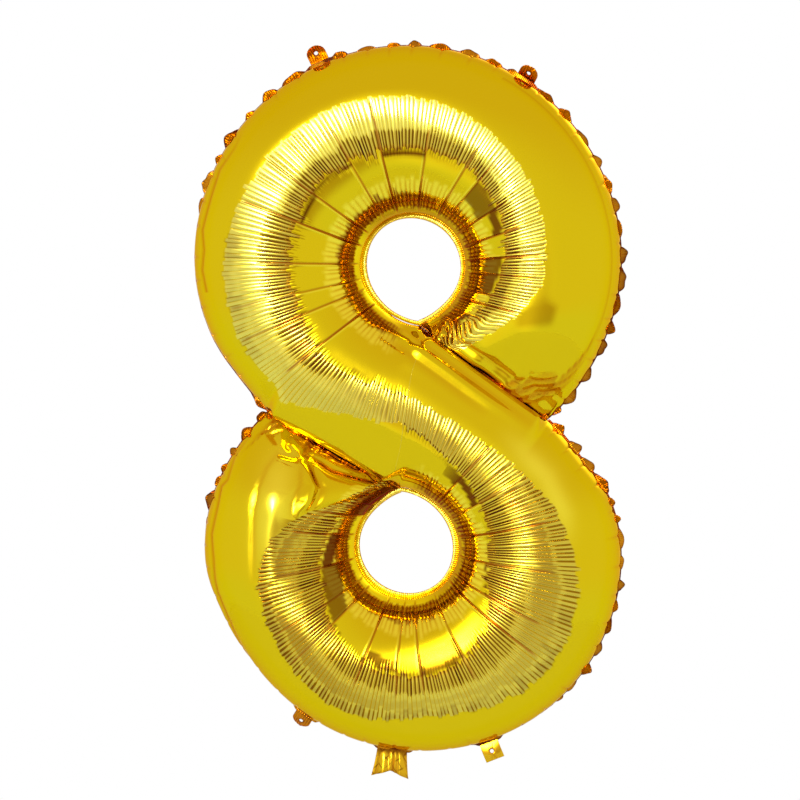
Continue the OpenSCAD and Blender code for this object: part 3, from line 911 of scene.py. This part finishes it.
def hole_ring(name, loop):
    """The rolled weld inside a hole: a flattened tube with fine ribs."""
    angle = np.linspace(HOLE_FROM, HOLE_TO, 900)
    middle = hole_point(loop, angle, -2.2 * MM)
    radial = hole_point(loop, angle, 1.0) - hole_point(loop, angle)
    run = path_length(middle)
    turn = np.linspace(0, 2 * np.pi, 17)
    rib = 1 + 0.06 * np.sin(run / (0.55 * MM) + 2 * np.sin(run / (5 * MM)))[:, None]
    roll = 1 + 0.25 * np.sin(run / (23 * MM) + 1.0)[:, None]
    out = 3.4 * MM * np.cos(turn) * roll
    y = 1.3 * MM * np.sin(turn) * rib * (1 - 0.55 * np.cos(turn))
    points = stand(middle[:, None] + radial[:, None] * out[..., None], y)
    # painted shade on the ring's side towards the hole
    valley_shade = np.broadcast_to(0.5 * np.clip(-np.cos(turn), 0, 1), y.shape)
    return joined_grids(name, [(points, valley_shade, np.broadcast_to(run[:, None], y.shape))])


def slit_weld(name, loop, rng):
    """The puckered weld of a slit: a ribbed ridge in uneven lumps, from the hole's corner to the notch."""
    p, q = corner(loop), notch(loop)
    run = np.linspace(0, 1, 500)
    length = np.linalg.norm(q - p)
    line = p + (q - p) * run[:, None]
    across = slit_side(loop, 1) / np.linalg.norm(slit_side(loop, 1))
    k, x, n = lobes(run * length, 26 * MM, 0.35, rng)
    lump = (np.sin(np.pi * x) ** 0.5 * rng.uniform(0.6, 1.15, n)[k] + 0.25)[:, None]
    turn = np.linspace(0, 2 * np.pi, 25)
    rib = 1 + 0.10 * np.sin(run * length / (0.42 * MM) + 2 * np.sin(run * 40))[:, None]
    if loop == UPPER:
        lump = lump * (0.35 + 0.65 * smooth((run - 0.35) / 0.2))[:, None]
    out = 2.6 * MM * np.cos(turn) * (0.55 + 0.45 * lump)
    y = 3.4 * MM * np.sin(turn) * lump * rib * (1 - 0.35 * np.exp(-((np.cos(turn)) / 0.25) ** 2))
    sway = 1.0 * MM * np.sin(run * 21 + 0.7 * loop)[:, None]
    points = stand(line[:, None] + across * (out + sway)[..., None], y)
    # painted shade where the lumps are low
    valley_shade = np.clip(1.1 - lump, 0, 0.9) + 0 * y
    return joined_grids(name, [(points, valley_shade, np.broadcast_to((run * length)[:, None], y.shape))])


# ---- tabs, neck and valve
def hanging_tab(name, fold, round_end, curl):
    """A punched tab: rings of points from the hole out to the tab's outline, curled and creased."""
    *_, tilt = fold_frame(fold)
    turn = np.linspace(0, 2 * np.pi, 97)[:-1]
    c, n = np.cos(turn), np.sin(turn)
    mid = TAB_LEN / 2
    half = TAB_W / 2
    with np.errstate(divide="ignore"):
        to_side = half / np.abs(n)
        ahead, behind = TAB_LEN - mid, mid + 1.5 * MM
        to_end = np.where(c > 0, ahead / np.maximum(c, 1e-9), behind / np.maximum(-c, 1e-9))
    edge = np.minimum(to_side, to_end)
    if round_end:
        centre = TAB_LEN - half - mid
        round_to = centre * c + np.sqrt(np.maximum(half**2 - (centre * n) ** 2, 0))
        edge = np.where(c * edge > centre, round_to, edge)
    share = np.linspace(0, 1, 15)[:, None]
    r = TAB_HOLE_R + (edge - TAB_HOLE_R) * share
    u, v = mid + r * c, r * n
    free = smooth(u / TAB_LEN)
    bend = curl * free * (u / TAB_LEN) ** 2 * 7 * MM + 2.0 * MM * free * (v / half) ** 2 * np.sign(curl)
    crease = -0.8 * MM * np.exp(-((v - 0.25 * u + 3 * MM) / (1.2 * MM)) ** 2) * free
    crease += 0.6 * MM * np.exp(-((v + 0.45 * u - 6 * MM) / (1.0 * MM)) ** 2) * free
    collar = 0.5 * MM * np.exp(-((r - TAB_HOLE_R) / (1.0 * MM)) ** 2)
    y = bend + crease + collar
    ahead, lift = u * math.cos(tilt) - y * math.sin(tilt), u * math.sin(tilt) + y * math.cos(tilt)
    # painted shade round the hole and along the creases
    valley_shade = np.clip(np.exp(-((r - TAB_HOLE_R) / (1.2 * MM)) ** 2) + np.abs(crease) / MM * 0.5, 0, 1)
    closed = [np.concatenate([ring, ring[:, :1]], 1) for ring in (placed(fold, ahead, v, lift), valley_shade, v)]
    return thicken(joined_grids(name, [closed]), 0.35 * MM)


def neck_ply(name, side):
    """One wall of the neck: flared, creased lengthways, with a swallow-tail mouth."""
    u = np.linspace(0, 1, 60)[:, None]
    v = np.linspace(-1, 1, 121)[None, :]
    length = NECK_LEN - TAIL_CUT * (1 - np.abs(v))
    half = mix(NECK_W, MOUTH_W, u**1.4) / 2
    # the front wall starts just short of the fold; the back wall begins just beyond it
    lead = -1.5 * MM if side < 0 else 3.2 * MM
    out = lead + (length - lead) * u
    across = v * half
    swell_out = 3.2 * MM * smooth(u) * (1 - v**2)
    pleats = 0.9 * MM * np.sin(v * 17 + 1.7 * np.sin(v * 5 + side)) * (1 - 0.4 * u) * (1 - v**4)
    flute = 1.6 * MM * np.sin(v * 6.0 + 0.6) * u**1.5 * (1 - v**4)
    y = side * (0.25 * MM + swell_out) + (pleats + flute) * smooth(u * 2)
    y = side * np.maximum(side * y, 0.15 * MM)
    points = placed(NECK, out, across, y)
    # painted shade in the hollows of the pleats and flutes
    valley_shade = np.clip(-side * (pleats + flute) / (1.8 * MM), 0, 1) * 0.9 + 0 * y
    # painted shade along crumple lines, near the fold and at the mouth
    crumple = np.exp(-(np.sin(4 * v + 7 * u + 1.3 * side) / 0.22) ** 2) * (0.5 + 0.5 * np.sin(9 * v - 5 * u))
    crumple += np.exp(-(np.sin(5 * v - 6 * u + 0.8) / 0.16) ** 2) * (0.5 + 0.5 * np.sin(6 * v + 8 * u))
    ends = 0.8 * (1 - smooth(u / 0.30)) + 0.25 * smooth((u - 0.8) / 0.2)
    shade = np.clip(ends + 0.8 * crumple, 0, 0.9) + 0 * y
    obj = grid_mesh(name, points, flip=(side > 0), attributes={"valley_shade": valley_shade, "shade": shade})
    return thicken(obj, 0.2 * MM)


def valve_strip(name, side):
    """One clear strip of the valve, lying slightly wavy inside the tube."""
    u = np.linspace(0, 1, 90)[:, None]
    v = np.linspace(-1, 1, 31)[None, :]
    out = -0.6 * MM - VALVE_LEN * u + 0 * v
    across = VALVE_W / 2 * v * (1 - 0.05 * np.cos(u * 9)) + 0 * u
    y = side * (0.12 * MM + 0.5 * MM * smooth(u * 3) * (1 - v**2) * (1 + 0.5 * np.sin(u * 14 + v)))
    return grid_mesh(name, placed(NECK, out, across, y), flip=(side > 0))


# ---- build
gold = foil("gold_foil", (0.80, 0.59, 0.005, 1), (0.68, 0.30, 0.003, 1), (0.42, 0.13, 0.005, 1), 0.09)
neck_gold = foil("neck_foil", (0.80, 0.46, 0.012, 1), (0.50, 0.16, 0.002, 1),
                 (0.17, 0.035, 0.001, 1), 0.14)
margin_amber = amber_film("margin_amber", (0.78, 0.31, 0.004, 1), (0.13, 0.020, 0.0006, 1),
                          1 / (0.36 * MM))
tab_amber = amber_film("tab_amber", (0.66, 0.22, 0.003, 1), (0.12, 0.018, 0.0006, 1), 1 / (0.5 * MM))
ring_gold = amber_film("ring_gold", (0.95, 0.76, 0.09, 1), (0.70, 0.38, 0.012, 1), 1 / (0.4 * MM))

add(film("front_film_skin", -1, 8), "balloon", ["front_film"], gold)
add(film("back_film_skin", 1, 80), "balloon", ["back_film"], gold)
rng = np.random.default_rng(3)
margin = joined_grids("outer_margin", [margin_strip(UPPER, rng), margin_strip(LOWER, rng)])
add(thicken(margin, 0.3 * MM), "balloon", ["outer_seam"], margin_amber)
for loop, word in ((UPPER, "upper"), (LOWER, "lower")):
    add(hole_ring(f"{word}_hole_ring", loop), "balloon", [f"{word}_hole_seam"], ring_gold)
    add(slit_weld(f"{word}_slit_weld", loop, rng), "balloon", [f"{word}_slit_seam"],
        margin_amber)
for word, fold in TABS.items():
    tab = hanging_tab(f"tab_{word}_film", fold, word != "lower_right", -1.0 if word == "upper_left" else 0.6)
    origin, away, _, tilt = fold_frame(fold)
    lead = away * math.cos(tilt) + np.array([0, math.sin(tilt), 0])
    add(tab, ("balloon", f"tab_{word}", tuple(origin - 1.2 * MM * lead), tuple(origin + 2.0 * MM * lead)),
        [f"hang_tab_{word}"], neck_gold if word == "lower_right" else tab_amber)
origin, away, _, _ = fold_frame(NECK)
add(neck_ply("neck_front_wall", -1),
    ("balloon", "neck_front", tuple(origin - 1.2 * MM * away), tuple(origin + 3 * MM * away)),
    ["neck_front_ply"], neck_gold)
add(neck_ply("neck_back_wall", 1), "neck_back", ["neck_back_ply"], neck_gold)
clear = clear_film()
for side, word in ((-1, "front"), (1, "back")):
    add(valve_strip(f"valve_{word}_strip", side), "balloon", [f"valve_{word}_film"],
        clear)


# ---- stage, light and camera
FLOOR_Z, FLOOR_R = -0.80, 1.3
CAMERA_AZ, CAMERA_EL, CAMERA_FAR = 4.0, 3.0, 3.0
VIEW_WIDTH = 1.0
AIM = Vector((-0.0088, 0.0, 0.0153))


def floor():
    mesh = bpy.data.meshes.new("floor")
    turn = np.linspace(0, 2 * np.pi, 129)[:-1]
    rim = [(FLOOR_R * math.cos(a), FLOOR_R * math.sin(a), FLOOR_Z) for a in turn]
    mesh.from_pydata(rim, [], [tuple(range(len(rim)))])
    obj = bpy.data.objects.new("floor", mesh)
    bpy.context.scene.collection.objects.link(obj)
    m, nt, p = new_material("floor_paper")
    p.inputs["Base Color"].default_value = (0.60, 0.70, 0.80, 1)
    p.inputs["Emission Color"].default_value = (1, 1, 1, 1)
    p.inputs["Emission Strength"].default_value = 0.10
    p.inputs["Roughness"].default_value = 0.9
    obj.data.materials.append(m)


def grey(v, warm=0.0):
    """A light of that strength, the warmer the less green and blue it has."""
    return (v, v * (1 - 0.30 * warm), v * (1 - 0.6 * warm), 1)


def angles(n):
    """Elevation and azimuth of a direction in degrees, and whether it is in front.

    The azimuth starts at the camera's side in front and at the far side behind, so that the lamp and
    the dark shape stand again behind the object, where they are weaker.
    """
    split = n.tree.nodes.new("ShaderNodeSeparateXYZ")
    n.put(split.inputs[0], n.tree.nodes.new("ShaderNodeTexCoord").outputs["Generated"])
    x, y, z = split.outputs
    el = n.times(n.math("ARCSINE", n.most(n.math("MINIMUM", z, 1.0), -1.0)), 180 / math.pi)
    turned = n.times(x, n.times(n.math("SIGN", y), -1.0))
    az = n.times(n.math("ARCTAN2", turned, n.math("ABSOLUTE", y)), 180 / math.pi)
    return el, az, n.ramp(y, -0.1, 0.1, 1.0, 0.0)


def soft_lamp(n, colour, el, az, front):
    """A tall soft light to the left, wide above the horizon, with a hot middle."""
    strip = n.times(n.bell(az, -14, 15), n.window(el, -30, 36, 12))
    colour = n.mix(n.times(strip, n.math("MULTIPLY_ADD", front, 0.75, 0.25)), colour, grey(1.5))
    core = n.times(n.bell(az, -20, 14), n.bell(el, 21, 7))
    spot = n.times(n.bell(az, -16, 5), n.bell(el, 14, 5))
    hot = n.math("ADD", n.times(core, 22.0), n.times(spot, 30.0))
    return n.add(colour, n.times(hot, n.math("MULTIPLY_ADD", front, 0.92, 0.08)))


def dark_shape(n, colour, el, az, front):
    """Whoever stands at the camera: a dark shape below the horizon, wider further down."""
    half = n.ramp(el, -12, 0, 24.0, 8.0)
    side = n.math("SUBTRACT", n.math("ABSOLUTE", az), half)
    body = n.times(n.ramp(side, -7, 7, 1.0, 0.0), n.window(el, -28, 1, 8))
    return n.mix(n.times(body, n.math("MULTIPLY_ADD", front, 0.35, 0.20)), colour, (0.30, 0.12, 0.04, 1))


def world():
    """A light tent round the object. The camera itself sees it plain white."""
    w = bpy.data.worlds.new("studio")
    bpy.context.scene.world = w
    w.use_nodes = True
    n = Nodes(w.node_tree)
    el, az, front = angles(n)
    colour = n.mix(n.ramp(el, 5, 50), grey(0.84, 0.05), grey(0.78, 0.46))
    colour = n.mix(n.ramp(el, -25, -8, 1.0, 0.0), colour, (0.80, 0.87, 0.95, 1))
    colour = soft_lamp(n, colour, el, az, front)
    colour = dark_shape(n, colour, el, az, front)
    camera_ray = w.node_tree.nodes.new("ShaderNodeLightPath").outputs["Is Camera Ray"]
    n.put(w.node_tree.nodes["Background"].inputs["Color"], n.mix(camera_ray, colour, (1, 1, 1, 1)))


def camera():
    data = bpy.data.cameras.new("camera")
    data.sensor_width = 36
    data.lens = 36 * CAMERA_FAR / VIEW_WIDTH
    obj = bpy.data.objects.new("camera", data)
    a, e = math.radians(CAMERA_AZ), math.radians(CAMERA_EL)
    away = Vector((math.sin(a) * math.cos(e), -math.cos(a) * math.cos(e), math.sin(e)))
    obj.location = AIM + away * CAMERA_FAR
    obj.rotation_euler = away.to_track_quat("Z", "Y").to_euler()
    bpy.context.scene.collection.objects.link(obj)
    bpy.context.scene.camera = obj


floor()
world()
camera()
bpy.context.scene.view_settings.view_transform = "Standard"
